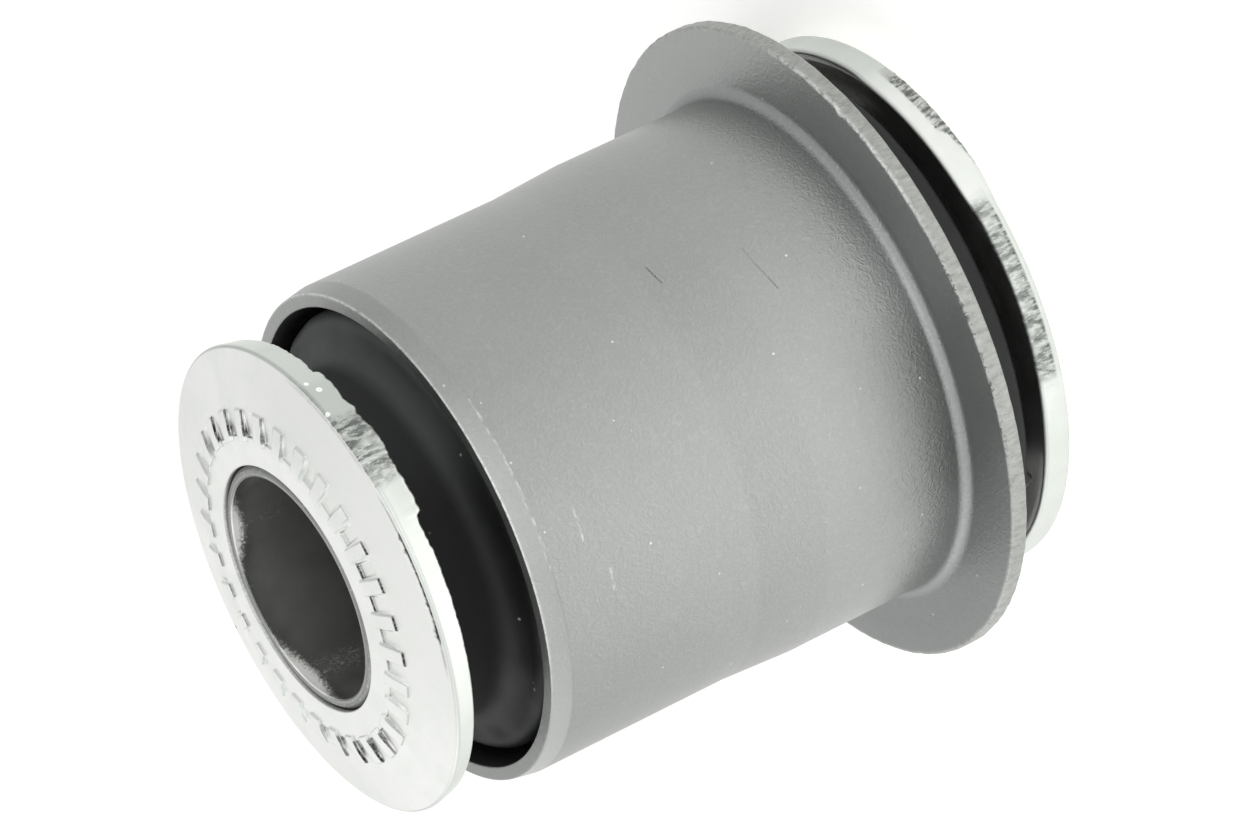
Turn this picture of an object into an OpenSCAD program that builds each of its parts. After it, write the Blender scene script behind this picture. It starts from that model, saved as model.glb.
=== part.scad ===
// Rubber metal bush: a steel sleeve bonded by one rubber moulding into a flanged steel shell,
// with a dished and serrated washer pressed on each end of the sleeve.
// All sizes are in millimetres. The axis of the bush is Z and the rear washer stands on Z = 0.

/* [Overall] */

// Length of the bush over the outer faces of its two end washers
overall_length = 64.1; // [63:0.1:70]

/* [Inner sleeve] */

// Diameter of the bolt bore through the sleeve
bore_d = 20; // [16:0.1:20.4]
// Outer diameter of the sleeve between its two shoulders
sleeve_d = 28; // [26:0.1:29.5]
// Diameter of the turned down ends that carry the washers
spigot_d = 21.9; // [21.5:0.1:23]
// Depth of each end of the sleeve below the face of its washer
end_recess = 0.1; // [0:0.05:0.3]
// Width of the bevel round the outside of each end
end_bevel = 0.45; // [0.2:0.05:0.55]
// Width of the bevel at each mouth of the bore
bore_bevel = 0.15; // [0.05:0.05:0.2]
// Width of the bevel on the outer corner of each shoulder
shoulder_bevel = 0.5; // [0.2:0.1:1]

/* [End washers] */

// Outer diameter of the front washer
front_washer_d = 42; // [39:0.1:42.5]
// Outer diameter of the rear washer
rear_washer_d = 48.6; // [44:0.1:54]
// Thickness of the sheet that both washers are pressed from
washer_thickness = 2; // [1.5:0.1:2.6]
// Diameter of the flat middle of each washer
flat_d = 24.8; // [24:0.1:26]
// Slope of the dished part of each washer
dish_angle = 14; // [8:0.5:18]
// Radius of the bend from the flat middle into the dished part
dish_bend_r = 11; // [5:0.5:11.5]
// Radius of the rounding on the rim of each washer
washer_rim_round = 0.35; // [0.1:0.05:0.7]
// Gap all round between the hole of a washer and the end of the sleeve in it
washer_hole_gap = 0.1; // [0.02:0.02:0.2]
// Width by which the flat seat of a washer reaches past the shoulder of the sleeve
seat_margin = 0.2; // [0.1:0.1:0.6]

/* [Serrations] */

// Number of raised bars, and of pits between them, in the ring on each washer
serration_count = 30; // [12:1:32]
// Inner diameter of the ring of serrations
serration_inner_d = 27.4; // [25:0.1:28.5]
// Outer diameter of the ring of serrations
serration_outer_d = 31.5; // [30:0.1:34]
// Width of each raised bar and of each pit
serration_width = 1.3; // [0.8:0.05:1.35]
// Depth of the floor of the pits below the flat middle of the washer
pit_depth = 0.42; // [0.3:0.02:0.6]
// Turn of the ring of serrations about the axis
serration_turn = 8.3; // [0:0.1:12]

/* [Steel shell] */

// Diameter of the front part of the shell
body_d = 44.6; // [44:0.1:45.2]
// Diameter of the rear part of the shell, which is the press fit seat
seat_d = 45.4; // [45.2:0.1:46.4]
// Thickness of the sheet that the shell and its flange are drawn from
sheet = 1.55; // [1.2:0.05:1.8]
// Length of the shell from the back of its flange to its mouth
shell_length = 43.05; // [40:0.05:44]
// Diameter of the flange
flange_d = 58; // [52:0.1:64]
// Radius of the bend between the shell and the face of its flange
root_fillet = 1; // [0.6:0.1:1.6]
// Radius of the rounding on the rim of the flange
flange_rim_round = 0.3; // [0.1:0.05:0.5]
// Length of the taper at the mouth that leads the shell into its seat
lead_in_length = 1.9; // [1:0.1:4]
// Depth of that taper below the front part of the shell
lead_in_depth = 0.35; // [0.1:0.05:0.5]
// Distance from the mouth to the start of the step up to the rear part
step_start = 20.45; // [10:0.05:24]
// Length of the step from the front part to the rear part
step_length = 6.75; // [2:0.05:10]

/* [Rubber] */

// Diameter of the rubber collar behind the flange
collar_d = 47.4; // [46:0.1:52]
// Thickness of the rubber collar behind the flange
collar_thickness = 4.35; // [3:0.05:5]
// Gap between the back of the collar and the inner edge of the rear washer
collar_gap = 1.75; // [1.2:0.05:3]
// Radius of the rounding on the back edge of the collar
collar_round = 0.9; // [0.3:0.1:1.5]
// Diameter of the rubber lip inside the mouth of the shell
lip_d = 39.6; // [37:0.1:40.4]
// Depth of the lip below the mouth of the shell
lip_depth = 0.8; // [0:0.05:1.5]
// Radius of the rounding on the lip
lip_round = 1.3; // [0.3:0.1:1.5]
// Depth of the groove round the lip below the mouth of the shell
groove_depth = 4.5; // [3.8:0.1:8]
// Diameter of the rubber neck on the sleeve at both ends
neck_d = 31.2; // [30.8:0.1:32]
// Radius of the hollow between the front neck and the lip
front_hollow_r = 2.6; // [1:0.1:3.2]
// Radius of the hollow between the rear neck and the collar
rear_hollow_r = 2.2; // [1:0.1:2.4]
// Gap between each neck and the seat of the washer beside it
neck_gap = 0.8; // [0.6:0.1:1.2]

/* [Hidden] */

$fn = 72;

bore_r = bore_d / 2;
sleeve_r = sleeve_d / 2;
spigot_r = spigot_d / 2;
hole_r = spigot_r + washer_hole_gap;
seat_pad_r = sleeve_r + seat_margin;
neck_r = neck_d / 2;
flat_r = flat_d / 2;
lip_r = lip_d / 2;
collar_r = collar_d / 2;
flange_r = flange_d / 2;
body_r = body_d / 2;
seat_r = seat_d / 2;

// Sizes worked out from arcs and slopes are rounded to a hundredth, so that seats meet exactly
function rounded(size) = round(size * 100) / 100;

// Depth of the flat seat of a washer below its face, where the seat meets the bent back
seat_depth = rounded(dish_bend_r
    - sqrt(pow(dish_bend_r - washer_thickness, 2) - pow(seat_pad_r - flat_r, 2)));

// Length of the dished part of a washer along its slope, for a given outer radius
function slope_length(outer_r) = washer_rim_round
    + (outer_r - washer_rim_round - flat_r - (dish_bend_r - washer_rim_round) * sin(dish_angle))
    / cos(dish_angle);

front_shoulder_z = overall_length - seat_depth;
rear_shoulder_z = seat_depth;
sleeve_top_z = overall_length - end_recess;
sleeve_bottom_z = end_recess;

// Height of the inner edge of the rear rim, which the collar keeps its gap from
rear_rim_z = rounded(dish_bend_r - (dish_bend_r - washer_thickness) * cos(dish_angle)
    + slope_length(rear_washer_d / 2) * sin(dish_angle));
collar_back_z = rear_rim_z + collar_gap;
flange_back_z = collar_back_z + collar_thickness;
flange_front_z = flange_back_z + sheet;
bend_x = seat_r + root_fillet;
bend_z = flange_front_z + root_fillet;
mouth_z = flange_back_z + shell_length;
step_top_z = mouth_z - step_start;
step_bottom_z = step_top_z - step_length;
body_bore_r = body_r - sheet;
seat_bore_r = seat_r - sheet;

lip_z = mouth_z - lip_depth;
groove_width = body_bore_r - lip_r;
groove_floor_z = mouth_z - groove_depth;
front_neck_z = front_shoulder_z - neck_gap;
rear_neck_z = rear_shoulder_z + neck_gap;

overlap = 0.5;

// Everything under a surface that is flat out to the bend, then bends down into a slope.
// A depth of 0 gives the face of a washer, and the thickness of its sheet gives the back.
module under_surface(depth, slope) {
    reach = 2 * dish_bend_r;
    translate([hole_r - overlap, -reach])
        square([flat_r - hole_r + overlap, reach - depth]);
    translate([flat_r, -dish_bend_r]) {
        circle(r = dish_bend_r - depth);
        rotate(-dish_angle)
            translate([0, dish_bend_r - depth - reach])
                square([slope, reach]);
    }
}

// Half section of a washer with its face upwards at height 0 and its axis at x = 0.
// It has a flat middle with a seat behind it, a bend, and a sloping part with a round rim.
module washer_profile(outer_r) {
    slope = slope_length(outer_r);
    intersection() {
        difference() {
            under_surface(0, slope - washer_rim_round);
            under_surface(washer_thickness, slope + 2 * dish_bend_r);
        }
        translate([hole_r, -dish_bend_r])
            square([outer_r, dish_bend_r + overlap]);
    }
    translate([hole_r, -seat_depth])
        square([seat_pad_r + overlap - hole_r, washer_thickness / 2]);
    translate([flat_r, -dish_bend_r])
        rotate(-dish_angle)
            translate([slope - washer_rim_round, dish_bend_r - washer_thickness]) {
                translate([-overlap, washer_rim_round])
                    square([washer_rim_round + overlap, washer_thickness - 2 * washer_rim_round]);
                for (y = [washer_rim_round, washer_thickness - washer_rim_round])
                    translate([0, y])
                        circle(r = washer_rim_round);
            }
}

// Ring of blocks that makes the bars, or the pits half a pitch away from them
module serration_ring(turn, low, high) {
    inner = serration_inner_d / 2;
    outer = serration_outer_d / 2;
    for (i = [0 : serration_count - 1])
        rotate(turn + i * 360 / serration_count)
            translate([inner, -serration_width / 2, low])
                cube([outer - inner, serration_width, high - low]);
}

// Dished washer with the bars of its coined ring level with its flat middle
module washer(outer_r) {
    difference() {
        union() {
            rotate_extrude() washer_profile(outer_r);
            serration_ring(serration_turn, -washer_thickness / 2, 0);
        }
        serration_ring(serration_turn + 180 / serration_count, -pit_depth, overlap);
    }
}

module front_washer() {
    color("#e4e6e4")
        translate([0, 0, overall_length])
            washer(front_washer_d / 2);
}

module rear_washer() {
    color("#e4e6e4")
        rotate([180, 0, 0])
            washer(rear_washer_d / 2);
}

// Sleeve with a shoulder behind each washer and a bevelled end inside each washer's hole
module inner_sleeve() {
    color("#8d8f8e")
        rotate_extrude()
            polygon([
                [bore_r, sleeve_bottom_z + bore_bevel],
                [bore_r + bore_bevel, sleeve_bottom_z],
                [spigot_r - end_bevel, sleeve_bottom_z],
                [spigot_r, sleeve_bottom_z + end_bevel],
                [spigot_r, rear_shoulder_z],
                [sleeve_r - shoulder_bevel, rear_shoulder_z],
                [sleeve_r, rear_shoulder_z + shoulder_bevel],
                [sleeve_r, front_shoulder_z - shoulder_bevel],
                [sleeve_r - shoulder_bevel, front_shoulder_z],
                [spigot_r, front_shoulder_z],
                [spigot_r, sleeve_top_z - end_bevel],
                [spigot_r - end_bevel, sleeve_top_z],
                [bore_r + bore_bevel, sleeve_top_z],
                [bore_r, sleeve_top_z - bore_bevel]
            ]);
}

// Half section of the space inside the shell, out to the wall that the rubber is bonded to.
// It runs past both ends of the shell, so that it cuts cleanly.
module shell_space() {
    polygon([
        [0, bend_z],
        [seat_bore_r, bend_z],
        [seat_bore_r, step_bottom_z],
        [body_bore_r, step_top_z],
        [body_bore_r, mouth_z + overlap],
        [0, mouth_z + overlap]
    ]);
    difference() {
        translate([0, flange_back_z - overlap])
            square([bend_x, bend_z - flange_back_z + overlap]);
        translate([bend_x, bend_z])
            circle(r = root_fillet + sheet);
    }
}

// Half section of the drawn shell: its wall, its bend and its flange, all one sheet thick
module shell_profile() {
    difference() {
        union() {
            polygon([
                [0, flange_back_z],
                [seat_r, flange_back_z],
                [seat_r, step_bottom_z],
                [body_r, step_top_z],
                [body_r, mouth_z - lead_in_length],
                [body_r - lead_in_depth, mouth_z],
                [0, mouth_z]
            ]);
            difference() {
                translate([0, flange_back_z])
                    square([bend_x, bend_z - flange_back_z]);
                translate([bend_x, bend_z])
                    circle(r = root_fillet);
            }
            translate([0, flange_back_z])
                square([flange_r - flange_rim_round, sheet]);
            translate([0, flange_back_z + flange_rim_round])
                square([flange_r, sheet - 2 * flange_rim_round]);
            for (z = [flange_back_z + flange_rim_round, flange_front_z - flange_rim_round])
                translate([flange_r - flange_rim_round, z])
                    circle(r = flange_rim_round);
        }
        shell_space();
    }
}

module outer_shell() {
    color("#9a9c9b")
        rotate_extrude() shell_profile();
}

// Half section of the rubber that fills the shell, up to the lip and its groove
module rubber_core_profile() {
    difference() {
        intersection() {
            shell_space();
            translate([sleeve_r, flange_back_z])
                square([flange_r, lip_z - flange_back_z]);
        }
        translate([lip_r, groove_floor_z + groove_width / 2])
            square([groove_width + overlap, groove_depth]);
        translate([lip_r + groove_width / 2, groove_floor_z + groove_width / 2])
            circle(r = groove_width / 2);
        difference() {
            translate([lip_r - lip_round, lip_z - lip_round])
                square([lip_round + overlap, lip_round + overlap]);
            translate([lip_r - lip_round, lip_z - lip_round])
                circle(r = lip_round);
        }
    }
    translate([sleeve_r, flange_back_z - overlap])
        square([seat_bore_r - sleeve_r, 2 * overlap]);
}

// Half section of a neck on the sleeve with the hollow that runs out from its foot.
// It reaches a little way into the rubber below its foot, which it is one piece with.
module neck_profile(foot_z, end_z, hollow_r) {
    way = sign(end_z - foot_z);
    root_z = foot_z - way * overlap;
    translate([sleeve_r, min(root_z, end_z)])
        square([neck_r - sleeve_r, abs(end_z - root_z)]);
    difference() {
        translate([sleeve_r, min(root_z, foot_z + way * hollow_r)])
            square([neck_r + hollow_r - sleeve_r, hollow_r + overlap]);
        translate([neck_r + hollow_r, foot_z + way * hollow_r])
            circle(r = hollow_r);
    }
}

// Half section of the collar behind the flange
module collar_profile() {
    translate([sleeve_r, collar_back_z])
        square([collar_r - collar_round - sleeve_r, collar_thickness]);
    translate([sleeve_r, collar_back_z + collar_round])
        square([collar_r - sleeve_r, collar_thickness - collar_round]);
    translate([collar_r - collar_round, collar_back_z + collar_round])
        circle(r = collar_round);
}

module rubber_body() {
    color("#2b2c2c")
        rotate_extrude() {
            rubber_core_profile();
            collar_profile();
            neck_profile(lip_z, front_neck_z, min(front_hollow_r, lip_r - lip_round - neck_r));
            neck_profile(collar_back_z, rear_neck_z, rear_hollow_r);
        }
}

outer_shell();
inner_sleeve();
rubber_body();
front_washer();
rear_washer();
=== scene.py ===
"""Looks of a rubber metal bush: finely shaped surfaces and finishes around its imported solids.

Lengths inside the functions are in millimetres, and every mesh is stored in metres. The angle "facing" runs
round the axis of the bush: 0 is the side turned to the camera, and it grows towards +X.
"""

import math
from types import SimpleNamespace

import bpy
import numpy as np
from mathutils import Matrix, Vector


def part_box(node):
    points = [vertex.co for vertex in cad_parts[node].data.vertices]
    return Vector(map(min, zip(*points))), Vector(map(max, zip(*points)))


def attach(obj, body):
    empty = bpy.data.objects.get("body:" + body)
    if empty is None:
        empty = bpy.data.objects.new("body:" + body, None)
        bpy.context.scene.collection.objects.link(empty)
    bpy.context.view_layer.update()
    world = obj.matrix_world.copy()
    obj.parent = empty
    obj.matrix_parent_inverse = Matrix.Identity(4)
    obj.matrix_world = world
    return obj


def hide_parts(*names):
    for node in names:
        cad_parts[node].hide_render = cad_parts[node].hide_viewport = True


bl_info = {
    "name": "Rubber Metal Bush",
    "version": (1, 0, 0),
    "blender": (4, 5, 0),
    "location": "View3D > Sidebar > Bush",
    "description": "Shapes and finishes the pieces of a flanged rubber metal bush",
    "category": "Add Mesh",
}

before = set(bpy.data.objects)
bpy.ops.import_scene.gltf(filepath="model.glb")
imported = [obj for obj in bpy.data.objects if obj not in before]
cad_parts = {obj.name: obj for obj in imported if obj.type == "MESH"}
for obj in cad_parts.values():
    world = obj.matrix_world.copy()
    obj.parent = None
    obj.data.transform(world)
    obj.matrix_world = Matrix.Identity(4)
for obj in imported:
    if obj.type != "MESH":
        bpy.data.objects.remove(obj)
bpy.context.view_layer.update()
MM = 0.001
BODY = "root"

# Columns of points round each piece, which keep every mesh under 200,000 triangles
SHELL_COLUMNS = 640
SLEEVE_COLUMNS = 400
RUBBER_COLUMNS = 500
WASHER_COLUMNS = 1160

# Stretches round the shell, each as its start, its end and how soft its ends are, in degrees like "facing"
# Stretch where the worn corner of the flange's rim is painted brightest, as its highlight
RIM_BRIGHT = (12, 52, 6)
RIM_CHIPPED = (-30, 6, 5)
RIM_HOLLOW = (33, 37.5, 1)
# Worn bare corner at the mouth, painted paler than its wear as its highlight
MOUTH_WEAR_AND_HIGHLIGHT = (-40, 115, 10)
# Painted light: the end face at the mouth is made paler on its front and upper sides
MOUTH_FRONT_LIT = (-50, 15, 10)
MOUTH_UPPER_LIT = (55, 130, 12)
# Painted light on the lower side of the taper, painted shade on its upper side
TAPER_LIT = (-110, 22, 12)
TAPER_MOST_LIT = (-110, -45, 15)
TAPER_SHADED = (45, 125, 12)
# Painted light on the upper side of the flange's face, painted shade on its lower side
FLANGE_LIT = (28, 140, 15)
FLANGE_SHADED = (-125, -35, 15)
# Painted shade on the wall by the flange's root
ROOT_SHADED = (-45, -3, 12)

# Marks on the shell's wall, each from one place to another, which are given as (distance round from facing
# 0, height): dark scratches with their width and strength, and lines where the coat is rubbed off
SCRATCHES = (
    ((12.0, 31.95), (10.1, 31.7), 0.1, 0.75),
    ((9.7, 24.0), (7.9, 23.85), 0.07, 0.3),
    ((7.9, 23.85), (5.2, 23.3), 0.08, 0.55),
)
RUB_LINES = (
    ((-7.6, 51.93), (8.0, 51.93)),
    ((-6.6, 48.4), (-3.6, 48.3)),
    ((-11.8, 46.9), (-9.8, 46.8)),
)
RUB_WIDTH = 0.17

# Small marks elsewhere, each with its place and radius: lint on the rubber, burrs on the front washer's
# rim painted white as their glints, and a dark speck near the edge of its face
LINT = (
    ((4.07, -16.97, 53.03), 0.17),
    ((-9.99, -13.75, 53.22), 0.17),
    ((-15.77, -9.86, 52.93), 0.17),
)
BURR_GLINTS = (
    ((11.62, -17.55, 62.18), 0.3),
    ((13.71, -15.77, 61.15), 0.3),
    ((14.55, -15.07, 61.67), 0.24),
)
FACE_SPECK = ((-0.7, 20.24, 62.48), 0.22)

# Side to which the walls of the bars and pits lean where the grey painted shade on them is strongest, as an
# angle like "facing"
GREY_SHADE_SIDE = math.radians(-61)

# Walls of the light tent: the side that each stands on, its rise and its strength, with angles in degrees
TENT_WALLS = (
    (0, 20, 1.8),
    (60, 20, 1.0),
    (120, 20, 0.8),
    (180, 20, 0.94),
    (240, 20, 1.62),
    (300, 20, 1.24),
    (0, 90, 1.6),
)
# Power of the cosine by which each wall's light falls off from its middle
TENT_POWER = 6.0

# The floor: half its side in metres, and the middle and radius of the brighter patch on it
FLOOR_HALF = 4.0
PATCH_MIDDLE = (-52.0, -72.0, 0.0)
PATCH_RADIUS = 160.0

# The camera, solved from the circles of the part: its place in millimetres, its axes, and its focal length in
# pixels of a picture that is 1248 pixels wide
CAMERA_PLACE = (1.194, -550.471, 283.402)
CAMERA_RIGHT = (-0.432359, -0.376300, -0.819429)
CAMERA_UP = (0.901702, -0.180433, -0.392910)
FOCAL_PIXELS = 7201.95
PICTURE_PIXELS = 1248
SENSOR_WIDTH = 36.0


def mm(value):
    """A length in metres turned into millimetres."""
    return value / MM


def node_box(node):
    """Lowest and highest corner of a CAD node in millimetres, to a hundredth."""
    low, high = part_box(node)
    return [round(mm(v), 2) for v in low], [round(mm(v), 2) for v in high]


SHELL_LOW, SHELL_HIGH = node_box("outer_shell")
SLEEVE_LOW, SLEEVE_HIGH = node_box("inner_sleeve")
RUBBER_LOW, RUBBER_HIGH = node_box("rubber_body")
FRONT_LOW, FRONT_HIGH = node_box("front_washer")
REAR_LOW, REAR_HIGH = node_box("rear_washer")


def linear(code):
    """sRGB hex value turned into linear red, green and blue, with full alpha."""
    parts = [int(code[i : i + 2], 16) / 255 for i in (1, 3, 5)]
    return tuple(c / 12.92 if c <= 0.04045 else ((c + 0.055) / 1.055) ** 2.4 for c in parts) + (1.0,)


def length_prop(name, text, size):
    """A length that a user can change, kept in metres and given in millimetres."""
    return bpy.props.FloatProperty(
        name=name, description=text, default=size * MM, min=0, unit="LENGTH", subtype="DISTANCE", precision=5
    )


def angle_prop(name, text, degrees):
    """An angle that a user can change, kept in radians and given in degrees."""
    size = math.radians(degrees)
    return bpy.props.FloatProperty(name=name, description=text, default=size, subtype="ANGLE")


def colour_prop(name, text, code):
    """A colour that a user can change, given as an sRGB hex value."""
    return bpy.props.FloatVectorProperty(
        name=name, description=text, default=linear(code), min=0, max=1, size=4, subtype="COLOR"
    )


def amount_prop(name, text, value, top=5.0):
    """A strength that a user can change."""
    return bpy.props.FloatProperty(name=name, description=text, default=value, min=0, max=top)


class BushShellSettings(bpy.types.PropertyGroup):
    front_diameter: length_prop("Front diameter", "Outer diameter of the front part of the shell", 44.6)
    seat_diameter: length_prop("Seat diameter", "Outer diameter of the rear part, the press fit seat", 45.4)
    sheet: length_prop("Sheet", "Thickness of the drawn sheet", 1.55)
    root_radius: length_prop("Root radius", "Radius of the bend between the wall and the flange", 1.0)
    flange_rounding: length_prop("Rim rounding", "Radius on the edges of the flange", 0.3)
    lead_in_length: length_prop("Lead-in length", "Length of the taper at the mouth", 1.9)
    lead_in_depth: length_prop("Lead-in depth", "Depth of the taper at the mouth", 0.35)
    step_start: length_prop("Step start", "Distance from the mouth to the step", 20.45)
    step_length: length_prop("Step length", "Length of the step up to the seat", 6.75)
    grain: length_prop("Grain", "Size of the blasted grain", 0.32)
    colour: colour_prop("Coat", "Colour of the grey coat", "#989a99")
    edge_colour: colour_prop("Sheared edge", "Colour of the sheared edge of the sheet", "#989a96")
    # Paler colour of the worn grain, also painted on as light as a paler coat on the lit stretches of the
    # taper, the end face and the flange
    worn_and_lit_colour: colour_prop("Worn coat", "Colour where the coat is rubbed thin", "#c6c8c5")
    # Painted shade: this darker coat is put by the flange's root and on the shaded stretches of the taper and
    # the flange
    shade_colour: colour_prop("Heavy coat", "Colour where the coat lies thick", "#6c6e6c")


class BushSleeveSettings(bpy.types.PropertyGroup):
    bore_diameter: length_prop("Bore", "Diameter of the bolt bore", 20.0)
    end_diameter: length_prop("Turned ends", "Diameter of the ends that carry the washers", 21.9)
    end_bevel: length_prop("End bevel", "Width of the bevel round each end", 0.35)
    bore_bevel: length_prop("Bore bevel", "Width of the bevel at each mouth of the bore", 0.09)
    shoulder_bevel: length_prop("Shoulder bevel", "Width of the bevel on each shoulder", 0.5)
    colour: colour_prop("Steel", "Colour of the turned steel", "#8f918e")
    oil_colour: colour_prop("Oil film", "Colour of the old oil in the bore", "#8a8b87")
    # Near white painted on as the highlight at the mouth of the bore
    highlight_colour: colour_prop("Rubbed steel", "Colour where the bore is rubbed bare", "#f4f5f1")


class BushRubberSettings(bpy.types.PropertyGroup):
    lip_diameter: length_prop("Lip", "Diameter of the lip inside the mouth", 39.6)
    lip_depth: length_prop("Lip depth", "Depth of the lip below the mouth", 0.8)
    lip_rounding: length_prop("Lip rounding", "Radius on the lip", 1.3)
    groove_depth: length_prop("Groove depth", "Depth of the groove round the lip", 4.5)
    neck_diameter: length_prop("Neck", "Diameter of the rubber neck at both ends", 31.2)
    front_hollow: length_prop("Front hollow", "Radius of the hollow inside the lip", 2.6)
    rear_hollow: length_prop("Rear hollow", "Radius of the hollow inside the collar", 2.2)
    collar_thickness: length_prop("Collar", "Thickness of the collar behind the flange", 4.35)
    collar_rounding: length_prop("Collar rounding", "Radius on the back edge of the collar", 0.9)
    colour: colour_prop("Rubber", "Colour of the moulded rubber", "#111212")
    bloom_colour: colour_prop("Bloom", "Colour of the faint bloom on the rubber", "#202121")


class BushWasherSettings(bpy.types.PropertyGroup):
    thickness: length_prop("Sheet", "Thickness of the pressed sheet", 2.0)
    flat_diameter: length_prop("Flat", "Diameter of the flat middle", 24.8)
    bend_radius: length_prop("Bend", "Radius of the bend into the dished part", 11.0)
    rim_rounding: length_prop("Rim rounding", "Radius on the edges of the rim", 0.35)
    hole_gap: length_prop("Hole gap", "Gap round the end of the sleeve", 0.1)
    seat_margin: length_prop("Seat margin", "Width by which the seat reaches past the shoulder", 0.2)
    ring_inner: length_prop("Ring inside", "Inner diameter of the serrations", 27.4)
    ring_outer: length_prop("Ring outside", "Outer diameter of the serrations", 31.5)
    bar_width: length_prop("Bar width", "Width of each bar and pit", 1.3)
    pit_depth: length_prop("Pit depth", "Depth of the inner end of the pits below the flat", 0.28)
    bar_height: length_prop("Bar height", "Height of the bars over the dished face", 0.2)
    bar_rise: length_prop("Bar rise", "Most that the bars of the front washer stand above the flat", 0.15)
    dish_angle: angle_prop("Dish angle", "Slope of the dished part", 14)
    turn: angle_prop("Turn", "Turn of the ring of serrations", 8.3)
    bar_count: bpy.props.IntProperty(name="Bars", description="Bars in each ring", default=30, min=6)
    tearing: amount_prop("Torn rim", "How torn the sheared rims are", 1.0, 2.0)
    colour: colour_prop("Zinc", "Colour of the bright zinc", "#f2f3f0")
    # Also painted as grey shade on the steep walls of the bars and pits and on stretches of the rims
    dull_colour: colour_prop("Dull zinc", "Colour of the zinc on the smooth stretches of the rims", "#b3b9b4")
    dark_colour: colour_prop("Bare steel", "Colour of the steel in the torn rim", "#6f726f")
    # Colour of the dark line by the edge and of the speck, also painted as dark shade on the walls of the
    # bars and pits and in the hole
    dark_mark_and_shade_colour: colour_prop("Dirt", "Colour of the oily dirt in pits and cracks", "#2b2b29")


class BushStageSettings(bpy.types.PropertyGroup):
    floor_colour: colour_prop("Floor", "Colour of the floor", "#f7f7f5")
    floor_glow: amount_prop("Floor glow", "Light that comes up through the floor", 0.1)
    lamp_glow: amount_prop("Lamp glow", "Brighter round patch of the floor over the lamp below it", 0.8)
    tent: amount_prop("Tent light", "Strength of the soft light through the walls of the tent", 1.0)


# Shapes: profiles, grids of points and closed surfaces


def path_with_arcs(corners, step):
    """Closed half section through corners given as (radius from the axis, height, rounding).

    Each corner becomes the arc of its rounding that touches both of its sides. Between two arcs the side
    gets a point close to each end, which keeps the shading of the flat side even, and points between them
    no further apart than the step.
    """
    corners = np.asarray(corners, float)
    points, before, after = corners[:, :2], np.roll(corners[:, :2], 1, 0), np.roll(corners[:, :2], -1, 0)
    to_before = before - points
    to_after = after - points
    to_before /= np.linalg.norm(to_before, axis=1, keepdims=True)
    to_after /= np.linalg.norm(to_after, axis=1, keepdims=True)
    half = np.arccos(np.clip((to_before * to_after).sum(1), -1, 1)) / 2
    reach = corners[:, 2] / np.tan(half)
    start, end = points + to_before * reach[:, None], points + to_after * reach[:, None]
    middle = to_before + to_after
    middle /= np.linalg.norm(middle, axis=1, keepdims=True)
    centre = points + middle * (corners[:, 2] / np.sin(half))[:, None]
    pieces = []
    for k, radius in enumerate(corners[:, 2]):
        a, b = start[k] - centre[k], end[k] - centre[k]
        turn = math.atan2(a[0] * b[1] - a[1] * b[0], a @ b)
        arc_step = math.radians(9 if radius > 0.6 else 18)
        share = np.linspace(0, 1, max(4, int(abs(turn) / arc_step) + 1))
        angles = math.atan2(a[1], a[0]) + share * turn
        pieces.append(centre[k] + radius * np.stack([np.cos(angles), np.sin(angles)], -1))
        side = start[(k + 1) % len(corners)] - end[k]
        long = np.linalg.norm(side)
        hold = min(0.12, long / 4)
        inner = np.linspace(hold, long - hold, max(2, int((long - 2 * hold) / step) + 1))
        pieces.append(end[k] + side * (inner / long)[:, None])
    return np.concatenate(pieces)


def ring_points(facing, path, outwards=0.0, upwards=0.0):
    """Grid of points of a revolved path: the radius turns through the angle from the camera's side.

    outwards and upwards are added to the radius and the height, and may differ at every point of the grid.
    """
    radius = path[None, :, 0] + outwards + 0 * facing[:, None]
    height = path[None, :, 1] + upwards + 0 * facing[:, None]
    return np.stack([radius * np.sin(facing)[:, None], -radius * np.cos(facing)[:, None], height], -1)


def ring_piece(name, grid, masks):
    """Closed smooth surface from a grid of points that joins up both ways.

    Each mask is a number at every point of the grid, which a material reads by the mask's name.
    """
    around, along = grid.shape[:2]
    row, column = np.arange(around)[:, None], np.arange(along)[None, :]
    next_row, next_column = (row + 1) % around, (column + 1) % along
    corners = [
        row * along + column,
        next_row * along + column,
        next_row * along + next_column,
        row * along + next_column,
    ]
    quads = np.stack(corners, -1).reshape(-1, 4)
    points = grid.reshape(-1, 3) * MM
    a, b, c, d = (points[quads[:, k]] for k in range(4))
    volume = (np.cross(a, b) * c).sum() + (np.cross(a, c) * d).sum()
    if volume < 0:
        quads = quads[:, ::-1]
    mesh = bpy.data.meshes.new(name)
    mesh.vertices.add(len(points))
    mesh.vertices.foreach_set("co", points.ravel())
    mesh.loops.add(quads.size)
    mesh.loops.foreach_set("vertex_index", quads.ravel().astype(np.int32))
    mesh.polygons.add(len(quads))
    mesh.polygons.foreach_set("loop_start", np.arange(0, quads.size, 4, dtype=np.int32))
    mesh.update(calc_edges=True)
    mesh.polygons.foreach_set("use_smooth", np.ones(len(quads), bool))
    for mask, values in masks.items():
        values = np.broadcast_to(values, (around, along)).astype(np.float32)
        mesh.attributes.new(mask, "FLOAT", "POINT").data.foreach_set("value", values.ravel())
    if mesh.validate():
        raise ValueError(name + " has faces that don't hold together")
    piece = bpy.data.objects.new(name, mesh)
    bpy.context.scene.collection.objects.link(piece)
    return piece


def place(piece, material, node):
    """The finished piece takes its material, moves with the body and stands for its CAD node."""
    piece.data.materials.append(material)
    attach(piece, BODY)
    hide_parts(node)


# Shares and waves round the bush and along its profiles


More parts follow.
